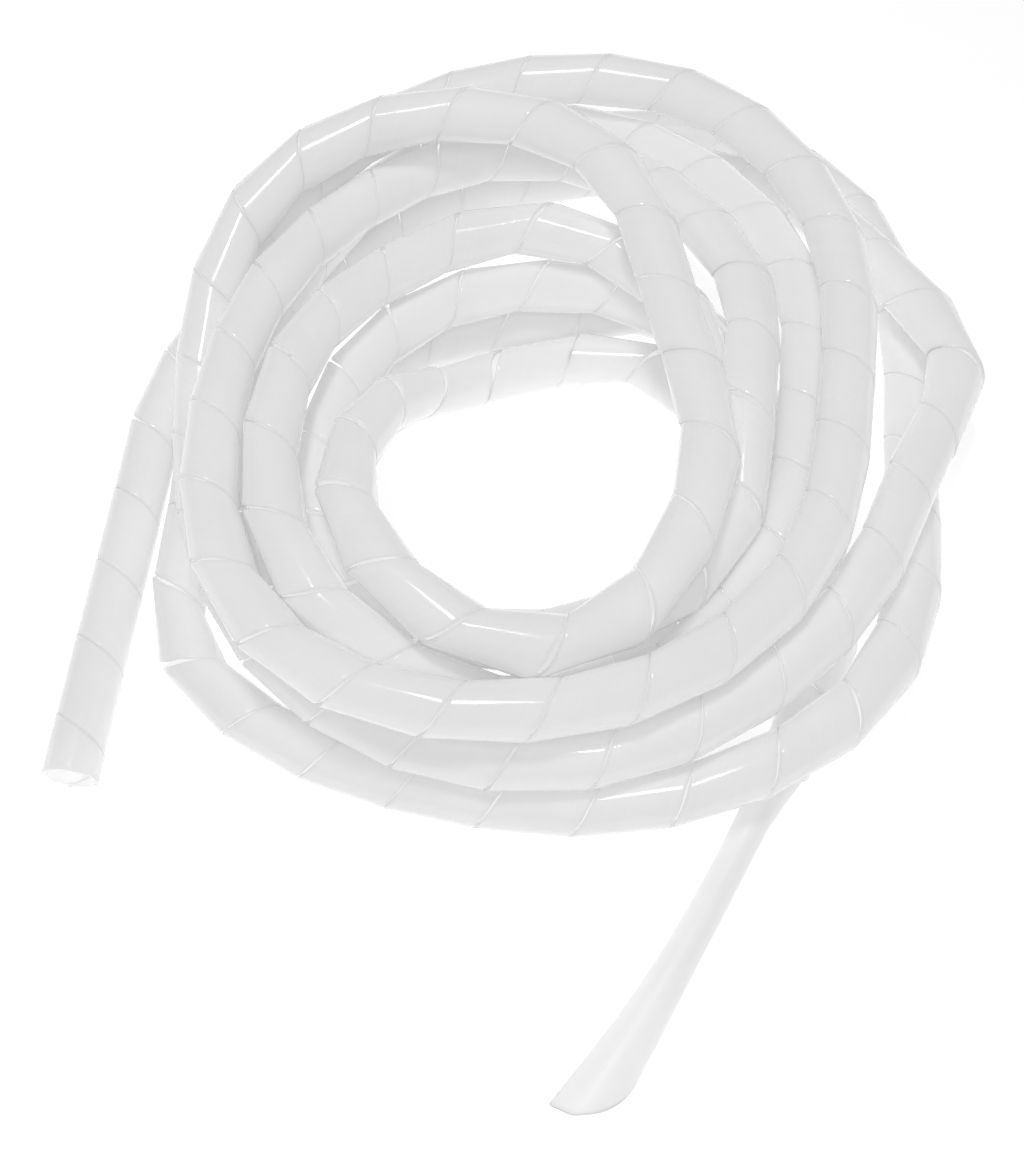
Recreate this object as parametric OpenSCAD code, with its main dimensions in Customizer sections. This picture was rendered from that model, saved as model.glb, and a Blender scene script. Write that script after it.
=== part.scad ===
// Spiral-cut tree guard tube, lying in a loose coil with two free ends.
// +Z is up, the ground is z = 0 and the coil's middle stands on the Z axis.

/* [Tube] */
// outside diameter of the tube
tube_d = 20; // [12:0.5:40]
// wall thickness of the ribbon it is wound from
wall = 1.5; // [0.8:0.1:3]
// spacing of neighbouring strands in the coil, centre to centre
lay = 21; // [20:0.25:45]
// how much a coiled strand gives where its neighbours press on it
give = 0.6; // [0:0.1:1.5]

/* [Left end] */
// how far the left end sticks out beyond the coil, up to its mouth
left_reach = 128; // [60:1:300]
// how far it leans outward from the coil, in degrees
left_lean = 5.8; // [0:0.2:20]
// depth of the open bore at the mouth
mouth_depth = 30; // [10:1:60]

/* [Right end] */
// play between a fixed length and the length that swings from it
play = 0.4; // [0.3:0.1:1]

/* [Quality] */
// rings in each eighth of a turn
rings = 4; // [2:1:8]
// flats round the tube
sides = 10; // [8:1:16]

/* [Hidden] */
$fn = 64;
tube_r = tube_d / 2;
strand_r = tube_r - give;
eighths = 8;

// One row a turn, from the west through north, east and south.
// Each value is the reach from the coil's middle, in strand spacings.
reach = [
    [7.37, 7.1, 7.9, 9.05, 6.8, 7.2, 6.8, 7.1],
    [6.37, 6.9, 7.35, 6.6, 5.1, 5.3, 5.83, 6.33],
    [5.6, 5.6, 6.2, 4.7, 3.4, 3.9, 4.35, 4.6],
    [3.85, 3.5, 3.3, 3.7, 3.6, 4.7, 5.7, 5.88],
    [5.4, 5.8, 6.8, 7.5, 6.45, 6.1, 6.3, 6.25],
    [6.2, 6.7, 5.3, 2.8, 2.45, 3.4, 4.87, 4.25],
    [2.95, 2.3, 2.2, 2.95, 3.35, 3.7, 4.79, 5.21],
    [5.1, 6.1, 7.2, 6.0, 4.5, 4.75, 5.37, 5.34],
    [4.5, 4.1, 3.9, 3.4, 2.85, 3.2, 4.07, 4.25],
    [4.3, 3.6, 3.2, 4.4, 4.3, 6.4]
];

// The same rows for the height above the lowest strands, in spacings.
lift = [
    [0, 0, 0, 0, 0.1, 1.1, 0.6, 0.15],
    [0, 1.55, 2.1, 2.3, 2.3, 2.45, 2.62, 2.53],
    [2.3, 2.0, 1.4, 2.0, 2.45, 2.0, 1.96, 1.61],
    [1.4, 1.1, 1.05, 0.8, 1.0, 0.3, 0, 0],
    [0, 0, 0, 0.85, 1.3, 1.7, 1.5, 0.95],
    [1.05, 2.55, 3.1, 3.1, 3.0, 3.0, 2.8, 2.9],
    [1.75, 0.1, 0, 0.1, 0, 0, 0.2, 0.65],
    [1.0, 0.95, 1.05, 1.4, 1.5, 1.6, 1.45, 2.45],
    [2.55, 1.9, 1.95, 1.7, 1.6, 1.0, 1.07, 0.74],
    [0.1, 0, 0, 0, 0, 0]
];

// Where one strand leans on another it is pushed out of its row: how many eighths of a turn
// along the route, how far in spacings, and over how many eighths.
pushed = [
    [3.3, -0.45, 0.5],
    [6.5, -0.25, 0.45],
    [7.35, 0.42, 0.3],
    [10.55, 0.35, 0.5],
    [35.75, 0.9, 0.32]
];

// Where the tube runs out from under the coil, then the free right end.
way_out = [[88, -114], [80, -126]];
right_pivot = [74, -137];
// x, y, half width and half height of each ring of the free right end
right_rows = [
    [70, -144, 7.5, 8.5],
    [61, -159, 6.2, 7.5],
    [50, -177, 5.9, 7],
    [42, -190, 6.2, 6.5],
    [35, -201, 7.2, 6.2],
    [29, -210, 8.2, 5.6]
];
tongue_rows = [
    [29, -210, 8.2, 5.6],
    [23, -218, 9.2, 5],
    [18, -225, 10, 4.5],
    [14, -230, 10.2, 4],
    [10, -235, 9, 3],
    [8, -237.5, 6, 2]
];

reaches = [for (row = reach) for (value = row) value];
lifts = [for (row = lift) for (value = row) value];
last_knot = len(reaches) - 1;

// smooth curve through a list of values, read at any place along it
function at(list, i) = list[max(0, min(len(list) - 1, i))];
function cubic(a, b, c, d, u) =
    0.5 * (2 * b + (c - a) * u + (2 * a - 5 * b + 4 * c - d) * u * u
        + (3 * b - a - 3 * c + d) * u * u * u);
function smooth(list, t) =
    let (i = min(floor(t), len(list) - 2))
    cubic(at(list, i - 1), at(list, i), at(list, i + 1), at(list, i + 2), t - i);

function sum(list) = list * [for (value = list) 1];
function push_at(t) =
    sum([for (push = pushed) push[1] * exp(-pow((t - push[0]) / push[2], 2))]);

function strand(t) =
    let (
        angle = 180 - 360 / eighths * t,
        r = lay * (smooth(reaches, t) + push_at(t)),
        z = tube_r + max(0, lay * smooth(lifts, t))
    )
    [r * cos(angle), r * sin(angle), z];

function unit(v) = v / norm(v);
function floor_point(p) = [p[0], p[1], tube_r];

// the fixed line stops short of each pivot, so that the free ends can swing
stop_short = tube_r + play;
left_pivot = [-lay * reach[0][0], 0];
first_step = stop_short / (lay * reach[0][0] * PI / 4);
out_stop = right_pivot + stop_short * unit(way_out[1] - right_pivot);

line = concat(
    [strand(first_step)],
    [for (k = [1 : rings * last_knot]) strand(k / rings)],
    [for (p = way_out) floor_point(p)],
    [floor_point(out_stop)]
);
ring_count = len(line);
turn_rings = rings * eighths;
out_from = rings * last_knot;

function heading(points, i) =
    unit(at(points, i + 1) - at(points, i - 1));

// one ring of the tube, square to its heading
function ring(centre, along, half_w, half_h) =
    let (side = unit(cross(along, [0, 0, 1])), up = cross(side, along))
    [for (k = [0 : sides - 1])
        centre + half_w * cos(360 * k / sides) * side + half_h * sin(360 * k / sides) * up];

function band_faces(n) = [for (i = [0 : n - 2], k = [0 : sides - 1])
    let (a = i * sides + k, b = i * sides + (k + 1) % sides)
    [a, b, b + sides, a + sides]];

module sweep(all_rings) {
    n = len(all_rings);
    near_cap = [for (k = [sides - 1 : -1 : 0]) k];
    far_cap = [for (k = [0 : sides - 1]) (n - 1) * sides + k];
    polyhedron(
        points = [for (one = all_rings) for (p = one) p],
        faces = concat([near_cap], band_faces(n), [far_cap]),
        convexity = 6
    );
}

module strand_length(from, to) {
    sweep([for (i = [from : to]) ring(line[i], heading(line, i), strand_r, strand_r)]);
}

milk = [0.9, 0.91, 0.9];

module coil_turn(number) {
    color(milk)
    strand_length((number - 1) * turn_rings, min(number * turn_rings, out_from));
}

module coil_turn_1() { coil_turn(1); }
module coil_turn_2() { coil_turn(2); }
module coil_turn_3() { coil_turn(3); }
module coil_turn_4() { coil_turn(4); }
module coil_turn_5() { coil_turn(5); }
module coil_turn_6() { coil_turn(6); }
module coil_turn_7() { coil_turn(7); }
module coil_turn_8() { coil_turn(8); }
module coil_turn_9() { coil_turn(9); }
module coil_turn_10() { coil_turn(10); }

// the fixed length that comes out from under the coil at the lower right
module coil_way_out() {
    color(milk)
    strand_length(out_from, ring_count - 1);
}

// places a shape drawn along Z so that it runs out along the left end
module along_left(start) {
    translate([left_pivot[0], left_pivot[1], tube_r])
    rotate([0, 0, -left_lean])
    translate([0, -start, 0])
    rotate([90, 0, 0])
    children();
}

// straight free length with a round knuckle on the pivot
module left_run() {
    color(milk)
    along_left(0)
    rotate_extrude()
    union() {
        square([tube_r, left_reach - mouth_depth]);
        intersection() {
            circle(r = tube_r);
            translate([0, -tube_r]) square([tube_r, tube_r]);
        }
    }
}

// open end of the tube, round and hollow
module left_mouth() {
    color(milk)
    along_left(left_reach - mouth_depth)
    difference() {
        cylinder(r = tube_r, h = mouth_depth);
        cylinder(r = tube_r - wall, h = mouth_depth + 1);
    }
}

function row_ring(rows, i) =
    let (
        row = rows[i],
        ahead = at(rows, i + 1) - at(rows, i - 1),
        along = unit([ahead[0], ahead[1], 0])
    )
    ring([row[0], row[1], row[3]], along, row[2], row[3]);

right_along = unit([right_rows[0][0], right_rows[0][1], 0] - [right_pivot[0], right_pivot[1], 0]);
shared_row = tongue_rows[0];
shared_along = unit([
    tongue_rows[1][0] - right_rows[len(right_rows) - 2][0],
    tongue_rows[1][1] - right_rows[len(right_rows) - 2][1],
    0
]);
shared_ring = ring([shared_row[0], shared_row[1], shared_row[3]], shared_along,
    shared_row[2], shared_row[3]);

// free length at the right, narrower where the ribbon has been drawn out
module right_run() {
    knuckle = [for (a = [-75, -50, -25, 0])
        ring([right_pivot[0], right_pivot[1], tube_r] + tube_r * sin(a) * right_along,
            right_along, tube_r * cos(a), tube_r * cos(a))];
    color(milk)
    sweep(concat(knuckle,
        [for (i = [0 : len(right_rows) - 2]) row_ring(right_rows, i)],
        [shared_ring]));
}

// the last of the ribbon, opened out into a shallow tongue
module right_tongue() {
    color(milk)
    sweep(concat([shared_ring],
        [for (i = [1 : len(tongue_rows) - 1]) row_ring(tongue_rows, i)]));
}

coil_turn_1();
coil_turn_2();
coil_turn_3();
coil_turn_4();
coil_turn_5();
coil_turn_6();
coil_turn_7();
coil_turn_8();
coil_turn_9();
coil_turn_10();
coil_way_out();
left_run();
left_mouth();
right_run();
right_tongue();
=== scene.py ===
"""A loose coil of spiral-cut polyethylene tree guard tube, with its two free ends.

The tube is one long ribbon wound edge to edge. Each wrap follows only half of the tube's bend,
so the winding shows as short, nearly straight lengths with a hairline seam between them, and
the seams open into thin wedges on the outside of every bend.
"""

import math

import bpy
import numpy as np
from bpy.props import FloatProperty, FloatVectorProperty, IntProperty, PointerProperty
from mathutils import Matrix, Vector


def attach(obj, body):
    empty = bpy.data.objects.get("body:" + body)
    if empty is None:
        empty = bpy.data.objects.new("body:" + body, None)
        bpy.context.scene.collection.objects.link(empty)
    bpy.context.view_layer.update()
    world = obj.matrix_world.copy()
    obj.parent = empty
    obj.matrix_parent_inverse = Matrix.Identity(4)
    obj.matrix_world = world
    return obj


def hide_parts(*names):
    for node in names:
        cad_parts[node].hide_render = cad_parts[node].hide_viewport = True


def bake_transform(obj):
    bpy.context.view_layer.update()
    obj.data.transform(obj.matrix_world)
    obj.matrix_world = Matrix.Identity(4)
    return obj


bl_info = {
    "name": "Spiral-cut tree guard tube",
    "version": (1, 0, 0),
    "blender": (4, 5, 0),
    "location": "View3D > Sidebar > Tree Guard",
    "description": "Builds a coil of spiral-cut tree guard tube with two free ends",
    "category": "Add Mesh",
}

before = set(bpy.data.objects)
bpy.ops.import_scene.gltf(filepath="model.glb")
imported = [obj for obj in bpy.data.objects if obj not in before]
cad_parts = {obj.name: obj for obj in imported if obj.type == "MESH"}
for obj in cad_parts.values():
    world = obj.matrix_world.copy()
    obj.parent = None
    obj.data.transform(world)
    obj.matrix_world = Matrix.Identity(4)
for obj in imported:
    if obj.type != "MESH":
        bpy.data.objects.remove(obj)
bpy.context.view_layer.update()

# ---------------------------------------------------------------- route of the tube

TURNS = 10
EIGHTHS = 8
STRAND_SPACING = 0.021
# points of the coil's line in each eighth of a turn
SAMPLES = 32

# One row a turn, from the west through north, east and south: reach from the coil's
# middle, and height above the lowest strands, both in strand spacings.
REACH = (
    (7.37, 7.1, 7.9, 9.05, 6.8, 7.2, 6.8, 7.1),
    (6.37, 6.9, 7.35, 6.6, 5.1, 5.3, 5.83, 6.33),
    (5.6, 5.6, 6.2, 4.7, 3.4, 3.9, 4.35, 4.6),
    (3.85, 3.5, 3.3, 3.7, 3.6, 4.7, 5.7, 5.88),
    (5.4, 5.8, 6.8, 7.5, 6.45, 6.1, 6.3, 6.25),
    (6.2, 6.7, 5.3, 2.8, 2.45, 3.4, 4.87, 4.25),
    (2.95, 2.3, 2.2, 2.95, 3.35, 3.7, 4.79, 5.21),
    (5.1, 6.1, 7.2, 6.0, 4.5, 4.75, 5.37, 5.34),
    (4.5, 4.1, 3.9, 3.4, 2.85, 3.2, 4.07, 4.25),
    (4.3, 3.6, 3.2, 4.4, 4.3, 6.4),
)
LIFT = (
    (0, 0, 0, 0, 0.1, 1.1, 0.6, 0.15),
    (0, 1.55, 2.1, 2.3, 2.3, 2.45, 2.62, 2.53),
    (2.3, 2.0, 1.4, 2.0, 2.45, 2.0, 1.96, 1.61),
    (1.4, 1.1, 1.05, 0.8, 1.0, 0.3, 0, 0),
    (0, 0, 0, 0.85, 1.3, 1.7, 1.5, 0.95),
    (1.05, 2.55, 3.1, 3.1, 3.0, 3.0, 2.8, 2.9),
    (1.75, 0.1, 0, 0.1, 0, 0, 0.2, 0.65),
    (1.0, 0.95, 1.05, 1.4, 1.5, 1.6, 1.45, 2.45),
    (2.55, 1.9, 1.95, 1.7, 1.6, 1.0, 1.07, 0.74),
    (0.1, 0, 0, 0, 0, 0),
)

# Where one strand leans on another it is pushed out of its row: how many eighths of a turn
# along the route, how far, and over how many eighths.
PUSHED = (
    (3.3, -0.45, 0.5),
    (6.5, -0.25, 0.45),
    (7.35, 0.42, 0.3),
    (10.55, 0.35, 0.5),
    (35.75, 0.9, 0.32),
)

# The free left end: how far it sticks out, how near the coil its straight line starts, how
# many points that line has, and how far it leans outward.
LEFT_REACH = 0.128
LEFT_START = 0.01
LEFT_POINTS = 13
LEFT_LEAN = math.radians(5.8)
# Where the tube runs out from under the coil, then along the free right end.
WAY_OUT = ((0.088, -0.114, 0.010), (0.080, -0.126, 0.010), (0.074, -0.137, 0.0095))
RIGHT_END = (
    (0.070, -0.144, 0.0085),
    (0.061, -0.159, 0.0075),
    (0.050, -0.177, 0.0070),
    (0.042, -0.190, 0.0065),
    (0.035, -0.201, 0.0062),
    (0.029, -0.210, 0.0056),
    (0.023, -0.218, 0.0050),
    (0.018, -0.225, 0.0045),
    (0.014, -0.230, 0.0040),
)

# spacing of the route's points, and over how far its corners are eased
STEP = 0.001
SMOOTHING = 0.007


def cubic(values, t):
    """Reads a smooth curve through a list of values at the places t along it."""
    values = np.asarray(values, float)
    t = np.asarray(t, float)
    last = len(values) - 1
    i = np.minimum(np.floor(t).astype(int), last - 1)
    u = t - i
    a, b, c, d = (values[np.clip(i + k, 0, last)] for k in (-1, 0, 1, 2))
    return 0.5 * (
        2 * b
        + (c - a) * u
        + (2 * a - 5 * b + 4 * c - d) * u**2
        + (3 * b - a - 3 * c + d) * u**3
    )


def coil_points(radius):
    """The tube's middle line through all its turns, clockwise as seen from above."""
    reach = [value for row in REACH for value in row]
    lift = [value for row in LIFT for value in row]
    t = np.arange(0, len(reach) - 1, 1 / SAMPLES)
    t = np.append(t, len(reach) - 1)
    angle = math.pi - 2 * math.pi / EIGHTHS * t
    r = cubic(reach, t)
    for where, how_far, spread in PUSHED:
        r = r + how_far * np.exp(-(((t - where) / spread) ** 2))
    r = STRAND_SPACING * r
    z = radius + np.maximum(0, STRAND_SPACING * cubic(lift, t))
    return np.stack([r * np.cos(angle), r * np.sin(angle), z], 1)


def spaced(points, step):
    """The same line with a point every step."""
    along = np.append(0, np.cumsum(np.linalg.norm(np.diff(points, axis=0), axis=1)))
    at = np.arange(0, along[-1], step)
    return np.stack([np.interp(at, along, points[:, k]) for k in range(3)], 1)


def eased(points, reach):
    """The same line with its corners eased over about the given reach."""
    count = int(3 * reach / STEP)
    weights = np.exp(-0.5 * (np.arange(-count, count + 1) * STEP / reach) ** 2)
    weights /= weights.sum()
    before = 2 * points[0] - points[count:0:-1]
    after = 2 * points[-1] - points[-2 : -count - 2 : -1]
    padded = np.concatenate([before, points, after])
    return np.stack([np.convolve(padded[:, k], weights, "valid") for k in range(3)], 1)


class Route:
    """The tube's middle line, read by distance from the left mouth."""

    def __init__(self, radius):
        pivot = np.array([-STRAND_SPACING * REACH[0][0], 0, radius])
        outward = np.array([-math.sin(LEFT_LEAN), -math.cos(LEFT_LEAN), 0])
        left = [pivot + outward * d for d in np.linspace(LEFT_REACH, LEFT_START, LEFT_POINTS)]
        raw = np.concatenate([left, coil_points(radius), WAY_OUT, RIGHT_END])
        self.points = eased(spaced(raw, STEP), SMOOTHING)
        ahead = np.gradient(self.points, axis=0)
        self.heading = ahead / np.linalg.norm(ahead, axis=1)[:, None]
        self.bend = np.gradient(self.heading, STEP, axis=0)
        self.length = (len(self.points) - 1) * STEP
        self.left_pivot = self.nearest(pivot)
        self.right_pivot = self.nearest(WAY_OUT[-1])
        self.turn_starts = [
            self.nearest(point) for point in coil_points(radius)[:: SAMPLES * EIGHTHS]
        ]

    def nearest(self, point):
        """Distance along the tube of the place nearest to a point."""
        gaps = np.linalg.norm(self.points - np.asarray(point), axis=1)
        return float(np.argmin(gaps)) * STEP

    def read(self, rows, at):
        """One of the route's vectors at each distance."""
        places = np.arange(len(rows)) * STEP
        return np.stack([np.interp(at, places, rows[:, k]) for k in range(3)], -1)

    def frame_at(self, at):
        """Place, heading, side and up of the tube at each distance."""
        over = np.maximum(0, np.asarray(at) - self.length)[..., None]
        short = np.maximum(0, -np.asarray(at))[..., None]
        heading = self.read(self.heading, at)
        heading /= np.linalg.norm(heading, axis=-1)[..., None]
        place = self.read(self.points, at) + heading * (over - short)
        side = np.cross(heading, [0, 0, 1])
        side /= np.linalg.norm(side, axis=-1)[..., None]
        return place, heading, side, np.cross(side, heading)

    def stretch(self, start, end, every=0.004):
        """Middle points from one distance to another."""
        count = int(abs(end - start) / every) + 2
        return self.frame_at(np.linspace(start, end, count))[0]


# ---------------------------------------------------------------- settings


class TubeSettings(bpy.types.PropertyGroup):
    """Sizes and colours of the tube."""

    diameter: FloatProperty(
        name="Diameter",
        description="Outside diameter of the tube",
        default=0.020,
        min=0.005,
        max=0.1,
        unit="LENGTH",
    )
    wall: FloatProperty(
        name="Wall",
        description="Thickness of the ribbon that the tube is wound from",
        default=0.0015,
        min=0.0005,
        max=0.004,
        unit="LENGTH",
    )
    ribbon_width: FloatProperty(
        name="Ribbon width",
        description="Width of the ribbon along the tube, from seam to seam",
        default=0.0308,
        min=0.01,
        max=0.08,
        unit="LENGTH",
    )
    steps_per_wrap: IntProperty(
        name="Steps per wrap",
        description="Faces round the tube in each wrap of the ribbon",
        default=32,
        min=12,
        max=64,
    )
    milk: FloatVectorProperty(
        name="Milky colour",
        description="Colour of the polyethylene where it is thickest",
        default=(0.84, 0.843, 0.84),
        min=0,
        max=1,
        subtype="COLOR",
    )
    haze: FloatVectorProperty(
        name="Haze colour",
        description="Colour of the paler clouds and streaks in the polyethylene",
        default=(0.89, 0.893, 0.89),
        min=0,
        max=1,
        subtype="COLOR",
    )


class StageSettings(bpy.types.PropertyGroup):
    """Camera, lights and floor."""

    camera_elevation: FloatProperty(
        name="Camera elevation",
        description="Angle of the view above the ground",
        default=math.radians(64),
        subtype="ANGLE",
    )
    camera_distance: FloatProperty(
        name="Camera distance",
        description="Distance from the camera to the point it looks at",
        default=0.546,
        unit="LENGTH",
    )
    lens: FloatProperty(
        name="Lens",
        description="Focal length for a sensor 24 mm high",
        default=29.36,
    )
    floor_colour: FloatVectorProperty(
        name="Floor colour",
        description="Colour of the pale floor",
        default=(0.93, 0.93, 0.93),
        min=0,
        max=1,
        subtype="COLOR",
    )


# ---------------------------------------------------------------- shader expressions


class Socket:
    """A shader socket that takes part in Python arithmetic."""

    def __init__(self, graph, socket):
        self.graph = graph
        self.socket = socket

    def math(self, operation, other):
        return self.graph.node("ShaderNodeMath", {"operation": operation}, {0: self, 1: other})

    def __add__(self, other):
        return self.math("ADD", other)

    __radd__ = __add__

    def __mul__(self, other):
        return self.math("MULTIPLY", other)

    __rmul__ = __mul__

    def __sub__(self, other):
        return self.math("SUBTRACT", other)

    def __rsub__(self, other):
        return self.graph.node("ShaderNodeMath", {"operation": "SUBTRACT"}, {0: other, 1: self})

    def stretch(self, low, high, new_low, new_high):
        """Maps low..high to new_low..new_high and holds it there."""
        return self.graph.node(
            "ShaderNodeMapRange",
            {"clamp": True, "interpolation_type": "SMOOTHSTEP"},
            {0: self, 1: low, 2: high, 3: new_low, 4: new_high},
        )


# which output of its node each of these values is
OBJECT_PLACE = 3
VECTOR_OUTPUT = 1
Z_OUTPUT = 2
MIXED_COLOUR = 2
# which inputs of a mix node hold its factor and its two colours
MIX_INPUTS = (0, 6, 7)


class Graph:
    """Adds nodes to one material and returns their outputs as Sockets."""

    def __init__(self, name):
        self.material = bpy.data.materials.new(name)
        self.material.use_nodes = True
        self.tree = self.material.node_tree
        self.shader = self.tree.nodes["Principled BSDF"]

    def node(self, kind, settings, inputs, output=0):
        """Adds a node of any kind, and links or sets each input given."""
        made = self.tree.nodes.new(kind)
        for key, value in settings.items():
            setattr(made, key, value)
        for key, value in inputs.items():
            if isinstance(value, Socket):
                self.tree.links.new(value.socket, made.inputs[key])
            else:
                made.inputs[key].default_value = value
        return Socket(self, made.outputs[output])

    def mix(self, factor, first, second):
        """Mixes two colours."""
        inputs = dict(zip(MIX_INPUTS, (factor, first, second)))
        return self.node("ShaderNodeMix", {"data_type": "RGBA"}, inputs, MIXED_COLOUR)

    def noise(self, vector, scale, detail=3.0, roughness=0.5):
        """Cloudy noise from 0 to 1."""
        return self.node(
            "ShaderNodeTexNoise",
            {"noise_dimensions": "3D"},
            {"Vector": vector, "Scale": scale, "Detail": detail, "Roughness": roughness},
        )

    def scaled(self, vector, factors):
        """A vector stretched by its own factor in each direction."""
        return self.node(
            "ShaderNodeVectorMath", {"operation": "MULTIPLY"}, {0: vector, 1: factors}
        )

    def drive(self, name, value):
        """Links a varying value to one of the shader's inputs."""
        self.tree.links.new(value.socket, self.shader.inputs[name])

    def hold(self, **constants):
        """Sets the shader's inputs that do not vary."""
        for name, value in constants.items():
            self.shader.inputs[name.replace("_", " ")].default_value = value


def opaque(colour):
    """A colour with full alpha."""
    return (*colour, 1.0)


# painted glow: emission standing in for light that reaches each face through the wall of its own
# and neighbouring strands, lifting the shade in crevices, seams and the inside of the tube
OUTER_PAINTED_GLOW = (0.085, 0.085, 0.085)
INNER_PAINTED_GLOW = (0.18, 0.18, 0.18)
SCUFF_COLOUR = (0.9, 0.9, 0.9)
WHITE = (1.0, 1.0, 1.0)
# the floor's own light, and how much darker its mottle is
FLOOR_GLOW = 0.4
MOTTLE = 0.985


def polyethylene(settings, name, dullness):
    """Milky low-density polyethylene: soft clouds, extrusion lines, light scuffs and a painted glow
    that lifts its shade.
    """
    graph = Graph(name)
    place = graph.node("ShaderNodeTexCoord", {}, {}, OBJECT_PLACE)
    strip = graph.node("ShaderNodeAttribute", {"attribute_name": "strip"}, {}, VECTOR_OUTPUT)

    clouds = graph.noise(place, 28.0, 3.0)
    streaks = graph.noise(graph.scaled(strip, (9.0, 900.0, 1.0)), 1.0, 2.0, 0.6)
    lines = graph.noise(graph.scaled(strip, (4.0, 2600.0, 1.0)), 1.0, 2.0, 0.7)
    smudges = graph.noise(place, 75.0, 4.0, 0.65)
    scuffs = graph.noise(graph.scaled(strip, (180.0, 1100.0, 1.0)), 1.0, 3.0, 0.7)

    haze = clouds.stretch(0.35, 0.7, 0.0, 0.75) + streaks.stretch(0.4, 0.75, 0.0, 0.25)
    colour = graph.mix(haze, opaque(settings.milk), opaque(settings.haze))
    scuffed = scuffs.stretch(0.62, 0.78, 0.0, 1.0) * smudges.stretch(0.45, 0.7, 0.0, 1.0)
    graph.drive("Base Color", graph.mix(scuffed * 0.35, colour, opaque(SCUFF_COLOUR)))
    graph.drive("Roughness", smudges.stretch(0.3, 0.75, 0.09, 0.15) + scuffed * 0.25 + dullness)

    relief = lines * 0.35 + graph.noise(place, 160.0, 2.0) * 0.5 + scuffed * 0.2
    bump = {"Strength": 0.12, "Distance": 0.0004, "Height": relief}
    graph.drive("Normal", graph.node("ShaderNodeBump", {}, bump))
    depth = graph.node("ShaderNodeSeparateXYZ", {}, {0: strip}, Z_OUTPUT)
    # painted glow: emission, stronger on the inner faces than the outer, standing in for light
    # through the walls and lifting the shade
    painted_glow = graph.mix(depth.stretch(0.4, 1.0, 0.0, 1.0), opaque(OUTER_PAINTED_GLOW), opaque(INNER_PAINTED_GLOW))
    graph.drive("Emission Color", painted_glow)
    graph.hold(
        Emission_Strength=1.0,
        IOR=1.51,
        Subsurface_Weight=1.0,
        Subsurface_Radius=(1.0, 1.0, 0.98),
        Subsurface_Scale=0.004,
    )
    return graph.material


def floor_paint(settings):
    """Matt pale board with the faintest mottle."""
    graph = Graph("pale_floor")
    place = graph.node("ShaderNodeTexCoord", {}, {}, OBJECT_PLACE)
    mottle = graph.noise(place, 6.0, 3.0).stretch(0.3, 0.7, 0.0, 1.0)
    pale = settings.floor_colour
    darker = tuple(MOTTLE * c for c in pale)
    graph.drive("Base Color", graph.mix(mottle, opaque(darker), opaque(pale)))
    graph.hold(
        Roughness=0.9,
        Specular_IOR_Level=0.1,
        Emission_Color=opaque(WHITE),
        Emission_Strength=FLOOR_GLOW,
    )
    return graph.material


# ---------------------------------------------------------------- mesh making


class Mesh:
    """Collects a grid of vertices with their own normals and builds one closed object."""

    def __init__(self, name):
        self.name = name
        self.points = []
        self.normals = []
        self.strips = []
        self.faces = []

    def add_band(self, points, normals, strips):
        """points is a grid: sections along the band, each a loop of points."""
        sections, loop = points.shape[:2]
        first = sum(len(p) for p in self.points)
        self.points.append(points.reshape(-1, 3))
        self.normals.append(normals.reshape(-1, 3))
        self.strips.append(strips.reshape(-1, 3))
        index = first + np.arange(sections * loop).reshape(sections, loop)
        for i in range(sections - 1):
            for k in range(loop):
                n = (k + 1) % loop
                self.faces.append((index[i, k], index[i, n], index[i + 1, n], index[i + 1, k]))
        return index

    def build(self, material):
        """Makes the object, with its grain places and its own normals."""
        mesh = bpy.data.meshes.new(self.name)
        points = np.concatenate(self.points)
        mesh.from_pydata(points.tolist(), [], [tuple(int(i) for i in f) for f in self.faces])
        strip = mesh.attributes.new("strip", "FLOAT_VECTOR", "POINT")
        strip.data.foreach_set("vector", np.concatenate(self.strips).ravel())
        mesh.materials.append(material)
        mesh.shade_smooth()
        normals = np.concatenate(self.normals)
        normals /= np.linalg.norm(normals, axis=1)[:, None]
        mesh.normals_split_custom_set_from_vertices(normals.tolist())
        made = bpy.data.objects.new(self.name, mesh)
        bpy.context.scene.collection.objects.link(made)
        return made


# across the ribbon: which edge each point belongs to, its distance in from that edge, its depth
# as a share of the wall, and how far its normal leans along the tube
EDGE_SOFT = 0.0004
EDGE_FLAT = 0.0013
PROFILE = (
    (-1, 0.0, 0.45, -1.0),
    (-1, EDGE_SOFT, 0.0, -0.35),
    (-1, EDGE_FLAT, 0.0, 0.0),
    (1, EDGE_FLAT, 0.0, 0.0),
    (1, EDGE_SOFT, 0.0, 0.35),
    (1, 0.0, 0.45, 1.0),
    (1, 0.0, 0.8, 1.0),
    (1, EDGE_SOFT, 1.0, 0.0),
    (-1, EDGE_SOFT, 1.0, 0.0),
    (-1, 0.0, 0.8, -1.0),
)
# how level the normals are on the ribbon's edges, and the largest share of half its width
# that an edge's rounding may take
EDGE_LEVEL = 0.35
EDGE_SHARE = 0.6
# half the gap at a seam, and how far one edge of the ribbon stands over the next
SEAM = 0.00004
LIP = 0.00012
# how much a bend lengthens the winding, and how much of the extra length on the outside of a
# bend the ribbon still covers; the rest opens the seam
NEUTRAL = 0.3
GIVE = 0.97
# how far each wrap follows the tube's bend: 0 stays straight, 1 follows it fully
SUPPLE = 0.5
# how far before the mouth the winding starts, in ribbon widths, and where round the tube, in
# radians
WINDING_LEAD = 0.51
FIRST_ANGLE = -1.9
# how far the grain runs along the ribbon for each metre of tube
GRAIN_RUN = 3.2
# narrowest sliver left where the winding is cut square
SLIVER = 0.0002


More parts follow.
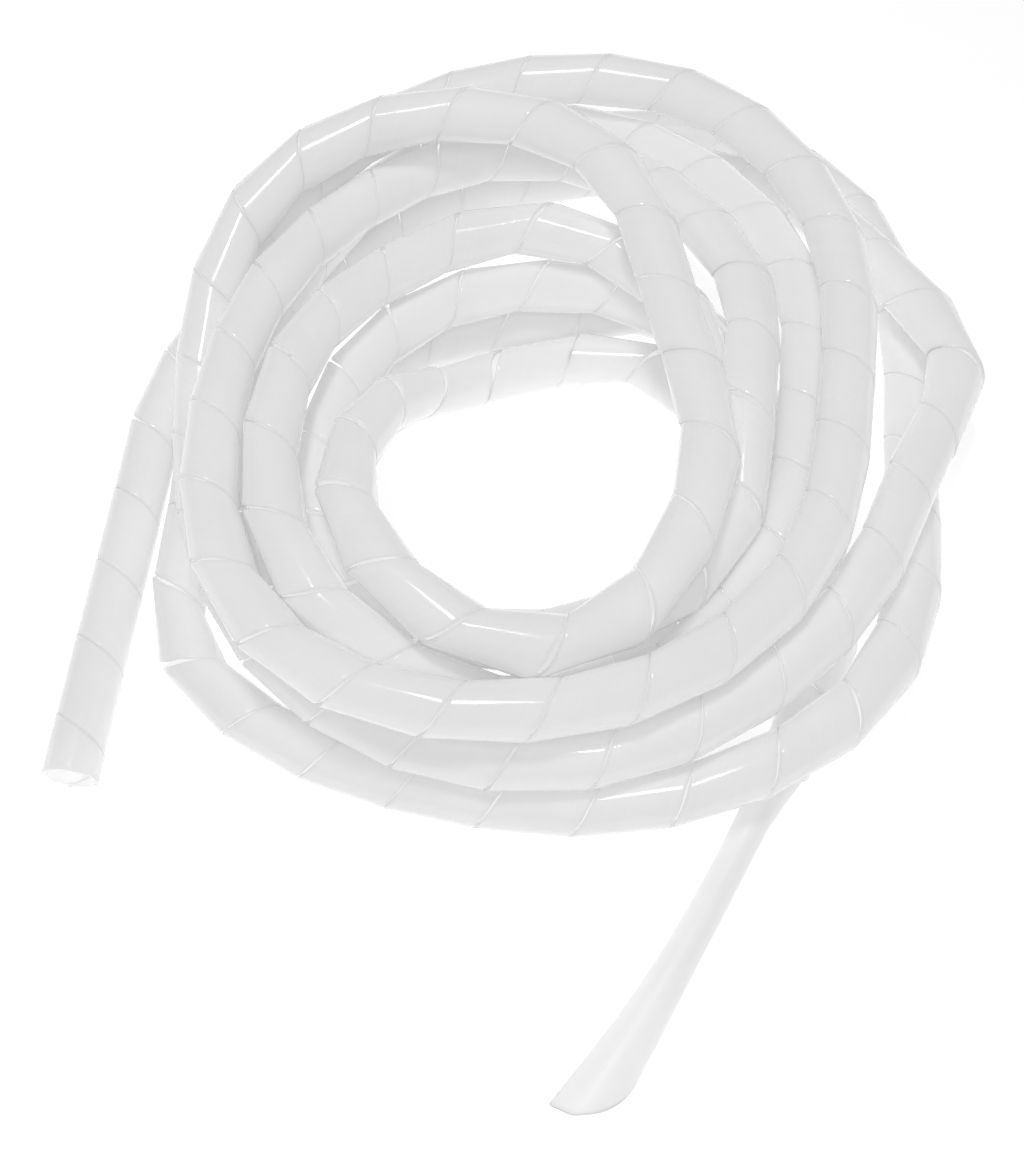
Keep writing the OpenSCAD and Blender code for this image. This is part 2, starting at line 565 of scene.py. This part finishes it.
class Winding:
    """Where each step of the ribbon's winding stands along the tube."""

    def __init__(self, route, settings):
        self.route = route
        self.settings = settings
        self.steps = settings.steps_per_wrap
        radius = settings.diameter / 2
        step = settings.ribbon_width / self.steps
        places = [-WINDING_LEAD * settings.ribbon_width]
        while places[-1] < route.length:
            row = int(np.clip(places[-1] / STEP, 0, len(route.bend) - 1))
            bend = np.linalg.norm(route.bend[row])
            places.append(places[-1] + step * (1 + NEUTRAL * radius * bend) + 2 * SEAM / self.steps)
        self.places = np.array(places)

    def place_of(self, number):
        """Distance along the tube of a step, which may be a fraction or before the first."""
        inside = np.interp(number, np.arange(len(self.places)), self.places)
        return inside + np.minimum(number, 0) * self.settings.ribbon_width / self.steps

    def angle_of(self, number):
        """Angle round the tube of a step."""
        return 2 * math.pi * number / self.steps + FIRST_ANGLE

    def step_at(self, distance):
        """The first step at or beyond a distance."""
        return int(np.searchsorted(self.places, distance))

    def cut_near(self, distance):
        """The step nearest to a distance at which the ribbon faces the ground."""
        near = self.step_at(distance)
        choices = range(near - self.steps // 2, near + self.steps // 2 + 1)
        return min(choices, key=lambda number: math.sin(self.angle_of(number)))

    def sections(self, first, last, clip_low=None, clip_high=None):
        """Grid of points, normals and strip places for steps first..last."""
        number = np.arange(first, last + 1)
        at = self.place_of(number)
        spacing = self.place_of(number + self.steps / 2) - self.place_of(number - self.steps / 2)
        angle = self.angle_of(number)
        place, heading, side, up = self.route.frame_at(at)
        out = np.cos(angle)[:, None] * side + np.sin(angle)[:, None] * up
        bend = self.route.read(self.route.bend, at)
        inward = (bend * out).sum(1)
        radius = self.settings.diameter / 2
        room = spacing * (1 - radius * inward) / 2 - SEAM
        give = 1 - GIVE * radius * np.minimum(inward, 0)
        half = np.minimum(self.settings.ribbon_width / 2 * give, room)
        low, high = -half, half
        if clip_low is not None:
            low = np.maximum(low, np.minimum(clip_low - at, half - SLIVER))
        if clip_high is not None:
            high = np.minimum(high, np.maximum(clip_high - at, low + SLIVER))
        points, normals, strips = [], [], []
        for edge, inset, depth, lean in PROFILE:
            limit = high if edge > 0 else low
            across = limit - edge * np.minimum(inset, (high - low) / 2 * EDGE_SHARE)
            lip = LIP * across / self.settings.ribbon_width
            r = radius - LIP / 2 + lip - depth * self.settings.wall
            facing = 1.0 if depth < 0.5 else -1.0
            level = 1.0 if abs(lean) < 1 else EDGE_LEVEL
            corner = place + r[:, None] * out + across[:, None] * heading
            corner += (SUPPLE * across**2 / 2)[:, None] * bend
            corner[:, 2] = np.maximum(corner[:, 2], 0)
            points.append(corner)
            tilt = lean - facing * level * SUPPLE * across * inward
            normals.append(facing * level * out + tilt[:, None] * heading)
            strips.append(np.stack([at * GRAIN_RUN, across, np.full_like(at, depth)], 1))
        return (np.stack(grid, 1) for grid in (points, normals, strips))


def cap(mesh, loop, normal):
    """Closes one end of a band with its own flat face."""
    first = sum(len(p) for p in mesh.points)
    points = np.concatenate(mesh.points)[loop]
    strips = np.concatenate(mesh.strips)[loop]
    mesh.points.append(points)
    mesh.normals.append(np.tile(normal, (len(loop), 1)))
    mesh.strips.append(strips)
    mesh.faces.append(tuple(range(first, first + len(loop))))


def ribbon(name, winding, start, end, material, clip_low=None, clip_high=None):
    """One length of the wound ribbon, from one step of the winding to another."""
    mesh = Mesh(name)
    points, normals, strips = winding.sections(start, end, clip_low, clip_high)
    index = mesh.add_band(points, normals, strips)
    round_way = points[1, 0] - points[0, 0]
    cap(mesh, index[0][::-1], -round_way)
    cap(mesh, index[-1], points[-1, 0] - points[-2, 0])
    return mesh.build(material)


# ---------------------------------------------------------------- operators

_made = {}


def workshop():
    """Route, winding and material, made once for every operator."""
    if not _made:
        settings = bpy.context.scene.guard_tube
        _made["route"] = Route(settings.diameter / 2)
        _made["winding"] = Winding(_made["route"], settings)
        _made["material"] = polyethylene(settings, "milky_polyethylene", 0.0)
    return _made["route"], _made["winding"], _made["material"]


# The left end bends over this far each side of its pivot, and its piece ends at least this
# many ribbon widths beyond that.
BEND_ZONE = 0.028
CUT_CLEAR = 0.6
# The winding ends this far before the right end's pivot, and a slanting cut reaches this far
# along the tube. The left end's cord line stops just inside the mouth.
WRAP_END = 0.016
CUT_REACH = 0.009
MOUTH_EDGE = 0.0005


def cuts(route, winding):
    """The steps at which one piece of the ribbon hands over to the next."""
    places = [route.left_pivot + BEND_ZONE + CUT_CLEAR * winding.settings.ribbon_width]
    places += route.turn_starts[1:TURNS]
    return [winding.cut_near(place) for place in places]


def declare(piece, path, nodes, **cord):
    """Hides the CAD nodes that a length of the tube stands for; the piece, its path and its facts
    as a cord are not used.
    """
    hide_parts(*nodes)


CAMERA_TARGET = (-0.01285, -0.04667, -0.0005)
SENSOR_HEIGHT = 24
FLOOR_REACH = 6.0
WORLD_STRENGTH = 0.41
LAMP_AIM = (0, 0, 0.04)
# name, place, size, power, and whether it shows in reflections
LAMPS = (
    ("key", (-0.12, 0.05, 1.25), 0.17, 2.8, True),
    ("front_fill", (-0.02, -0.60, 1.15), 0.60, 2.1, False),
)


class TREEGUARD_OT_stage(bpy.types.Operator):
    """Sets up the camera, the pale floor and the soft studio lights"""

    bl_idname = "treeguard.stage"
    bl_label = "Stage"

    def execute(self, context):
        settings = context.scene.guard_stage
        self.add_camera(context, settings)
        self.add_floor(settings)
        self.add_lights(context)
        return {"FINISHED"}

    def add_camera(self, context, settings):
        """Looks down at the coil from the front."""
        data = bpy.data.cameras.new("camera")
        data.sensor_fit = "VERTICAL"
        data.sensor_height = SENSOR_HEIGHT
        data.lens = settings.lens
        data.dof.use_dof = False
        camera = bpy.data.objects.new("camera", data)
        context.scene.collection.objects.link(camera)
        elevation = settings.camera_elevation
        back = Vector((0, -math.cos(elevation), math.sin(elevation)))
        camera.location = Vector(CAMERA_TARGET) + settings.camera_distance * back
        camera.rotation_euler = (math.pi / 2 - elevation, 0, 0)
        context.scene.camera = camera

    def add_floor(self, settings):
        """Lays one large pale board."""
        mesh = bpy.data.meshes.new("floor")
        signs = ((-1, -1), (1, -1), (1, 1), (-1, 1))
        corners = [(x * FLOOR_REACH, y * FLOOR_REACH, 0) for x, y in signs]
        mesh.from_pydata(corners, [], [(0, 1, 2, 3)])
        mesh.materials.append(floor_paint(settings))
        floor = bpy.data.objects.new("floor", mesh)
        bpy.context.scene.collection.objects.link(floor)

    def add_lights(self, context):
        """Hangs a small bright lamp above, a soft fill in front, and a pale sky."""
        world = bpy.data.worlds.new("studio")
        world.use_nodes = True
        background = world.node_tree.nodes["Background"]
        background.inputs["Color"].default_value = opaque(WHITE)
        background.inputs["Strength"].default_value = WORLD_STRENGTH
        context.scene.world = world
        for name, place, size, power, shines in LAMPS:
            data = bpy.data.lights.new(name, "AREA")
            data.shape = "DISK"
            data.size = size
            data.energy = power
            lamp = bpy.data.objects.new(name, data)
            lamp.location = place
            aim = Vector(LAMP_AIM) - Vector(place)
            lamp.rotation_euler = aim.to_track_quat("-Z", "Y").to_euler()
            lamp.visible_glossy = shines
            context.scene.collection.objects.link(lamp)
        context.scene.view_settings.view_transform = "Standard"


class TREEGUARD_OT_turns(bpy.types.Operator):
    """Winds the ribbon of each turn of the coil"""

    bl_idname = "treeguard.turns"
    bl_label = "Coil turns"

    def execute(self, context):
        route, winding, material = workshop()
        steps = cuts(route, winding)
        last = route.right_pivot - WRAP_END
        steps.append(winding.step_at(last + winding.settings.ribbon_width / 2))
        for number, (start, end) in enumerate(zip(steps, steps[1:]), 1):
            clip = last if number == TURNS else None
            turn = ribbon(f"turn_{number:02d}", winding, start, end, material, clip_high=clip)
            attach(turn, "coil")
            nodes = [f"coil_turn_{number}"]
            if number == TURNS:
                nodes.append("coil_way_out")
            begin = winding.places[start] - CUT_REACH
            finish = min(winding.places[end] + CUT_REACH, last)
            declare(turn, route.stretch(begin, finish), nodes,
                    far_end="object", stiffness="stiff", lay="coiled")
        return {"FINISHED"}


class TREEGUARD_OT_left_end(bpy.types.Operator):
    """Winds the free left end, round and open at its mouth"""

    bl_idname = "treeguard.left_end"
    bl_label = "Left end"

    def execute(self, context):
        route, winding, material = workshop()
        cut = cuts(route, winding)[0]
        end = ribbon("left_end_tube", winding, 0, cut, material, clip_low=0.0)
        pivot = route.left_pivot
        start, finish = route.frame_at(np.array([pivot + BEND_ZONE, pivot - BEND_ZONE]))[0]
        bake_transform(end)
        begin = winding.places[cut] + CUT_REACH
        declare(end, route.stretch(begin, MOUTH_EDGE), ["left_run", "left_mouth"],
                far_end="bare", stiffness="stiff", lay="loose")
        return {"FINISHED"}


# The pulled-out end, seen along its own straight right edge: distance along it, reach of the
# left and right edges from the line of the pull, height of the arch, and how far the ribbon
# reaches round from its top to the left and to the right, in degrees.
PULL_FROM = (0.0895, -0.1102)
PULL_HEADING = (-0.501, -0.865)
STRIP = (
    (0.000, 0.0098, 0.0098, 0.0200, 172, 172),
    (0.014, 0.0090, 0.0090, 0.0190, 170, 170),
    (0.026, 0.0072, 0.0070, 0.0165, 166, 166),
    (0.036, 0.0062, 0.0058, 0.0145, 162, 160),
    (0.050, 0.0057, 0.0056, 0.0134, 160, 156),
    (0.070, 0.0060, 0.0057, 0.0128, 158, 150),
    (0.088, 0.0068, 0.0056, 0.0122, 150, 140),
    (0.104, 0.0082, 0.0056, 0.0116, 124, 126),
    (0.118, 0.0099, 0.0056, 0.0108, 104, 112),
    (0.132, 0.0122, 0.0055, 0.0096, 94, 100),
    (0.143, 0.0145, 0.0055, 0.0084, 90, 94),
    (0.153, 0.0164, 0.0055, 0.0072, 88, 90),
)
STRIP_FULL_LENGTH = 0.153
MIDDLE_POINTS = 40
# the tip is rounded off by this much on its right, from this place round it (-1 left, 1 right)
ROUNDED_CORNER = 0.0235
CORNER_START = -0.4
# nicks in the left edge: distance along, and the loss of reach round, in degrees
NOTCHES = ((0.086, 7.0), (0.107, 7.0))
HALF_RIBBON = 0.0155
TONGUE_ROWS = 120
TONGUE_AROUND = 30
FLOOR_GAP = 0.0001
# stretching hazes the plastic, so the pulled-out end is less glossy
DRAWN_DULLNESS = 0.3
# how far before and after its pivot the right end bends
BEND_BEFORE = 0.012
BEND_AFTER = 0.036


class Tongue:
    """The pulled-out end of the ribbon, a trough that opens out towards a rounded tip."""

    def __init__(self, wall):
        self.wall = wall
        self.table = np.array(STRIP)
        self.ahead = np.array([*PULL_HEADING, 0.0])
        self.right = np.array([-self.ahead[1], self.ahead[0], 0.0])
        self.begin = np.array([*PULL_FROM, 0.0])

    def sizes(self, along):
        """Left reach, right reach, height and both spans at each distance."""
        return [np.interp(along, self.table[:, 0], self.table[:, k]) for k in range(1, 6)]

    def middle_line(self):
        """Middle points, from under the coil to the tip."""
        along = np.linspace(0, STRIP_FULL_LENGTH, MIDDLE_POINTS)
        left, wide, tall = self.sizes(along)[:3]
        across = (wide - left) / 2
        line = self.begin + along[:, None] * self.ahead + across[:, None] * self.right
        line[:, 2] = tall / 2
        return line

    def lengthwise(self, place, end, inner):
        """Points, normals and grain places of one line along the outer or inner face."""
        along = np.linspace(0, 1, TONGUE_ROWS) * end
        left, wide, tall, span_l, span_r = self.sizes(along)
        for start, drop in NOTCHES:
            span_l = span_l - drop * (along > start)
        angle = np.radians(np.where(place < 0, span_l, span_r) * place)
        inset = self.wall if inner else 0
        half = (left + wide) / 2 - inset
        low = np.minimum(np.cos(np.radians(np.maximum(span_l, span_r))), 0)
        rise = (tall - inset) / (1 - low)
        across = (wide - left) / 2 + half * np.sin(angle)
        points = self.begin + along[:, None] * self.ahead + across[:, None] * self.right
        height = tall - inset - rise + rise * np.cos(angle)
        points[:, 2] = np.maximum(height, FLOOR_GAP)
        lean = np.sin(angle)[:, None] * self.right / half[:, None]
        lean = lean + (np.cos(angle) / rise)[:, None] * np.array([0, 0, 1.0])
        lean /= np.linalg.norm(lean, axis=1)[:, None]
        across_ribbon = np.full(TONGUE_ROWS, HALF_RIBBON * place)
        depth = np.full(TONGUE_ROWS, float(inner))
        strip = np.stack([along * GRAIN_RUN, across_ribbon, depth], 1)
        return points, -lean if inner else lean, strip

    def fill(self, mesh):
        """Adds both faces, the edges and the two ends to a mesh."""
        around = np.linspace(-1, 1, TONGUE_AROUND + 1)
        rounding = np.clip((around - CORNER_START) / (1 - CORNER_START), 0, 1) ** 2
        tips = STRIP_FULL_LENGTH - ROUNDED_CORNER * rounding
        outer = [self.lengthwise(place, tip, False) for place, tip in zip(around, tips)]
        inner = [self.lengthwise(place, tip, True) for place, tip in zip(around, tips)]
        loop = outer[::-1] + inner
        index = mesh.add_band(*(np.stack([line[k] for line in loop], 1) for k in range(3)))
        last = len(loop) - 1
        for k in range(TONGUE_AROUND):
            ring = (k, k + 1, last - k - 1, last - k)
            mesh.faces.append(tuple(index[0, n] for n in reversed(ring)))
            mesh.faces.append(tuple(index[-1, n] for n in ring))


class TREEGUARD_OT_right_end(bpy.types.Operator):
    """Shapes the free right end, pulled out of its winding into a tongue"""

    bl_idname = "treeguard.right_end"
    bl_label = "Right end"

    def execute(self, context):
        route, winding, _ = workshop()
        tongue = Tongue(winding.settings.wall)
        mesh = Mesh("right_end_tongue")
        tongue.fill(mesh)
        end = mesh.build(polyethylene(winding.settings, "drawn_polyethylene", DRAWN_DULLNESS))
        pivot = route.right_pivot
        bend = np.array([pivot - BEND_BEFORE, pivot + BEND_AFTER])
        start, finish = route.frame_at(bend)[0]
        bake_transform(end)
        declare(end, tongue.middle_line(), ["right_run", "right_tongue"],
                far_end="bare", stiffness="stiff", lay="loose")
        return {"FINISHED"}


class TREEGUARD_PT_panel(bpy.types.Panel):
    """Lists the steps that build the tube"""

    bl_idname = "TREEGUARD_PT_panel"
    bl_label = "Tree guard tube"
    bl_space_type = "VIEW_3D"
    bl_region_type = "UI"
    bl_category = "Tree Guard"

    def draw(self, context):
        layout = self.layout
        for settings in (context.scene.guard_tube, context.scene.guard_stage):
            for name in settings.bl_rna.properties.keys():
                if name not in ("rna_type", "name"):
                    layout.prop(settings, name)
        for step in STEPS:
            layout.operator(step.bl_idname)


STEPS = (
    TREEGUARD_OT_stage,
    TREEGUARD_OT_turns,
    TREEGUARD_OT_left_end,
    TREEGUARD_OT_right_end,
)
CLASSES = (TubeSettings, StageSettings, *STEPS, TREEGUARD_PT_panel)


def register():
    for each in CLASSES:
        bpy.utils.register_class(each)
    bpy.types.Scene.guard_tube = PointerProperty(type=TubeSettings)
    bpy.types.Scene.guard_stage = PointerProperty(type=StageSettings)


def unregister():
    del bpy.types.Scene.guard_stage
    del bpy.types.Scene.guard_tube
    for each in reversed(CLASSES):
        bpy.utils.unregister_class(each)


def main():
    register()
    bpy.ops.treeguard.stage()
    bpy.ops.treeguard.turns()
    bpy.ops.treeguard.left_end()
    bpy.ops.treeguard.right_end()


if __name__ == "__main__":
    main()
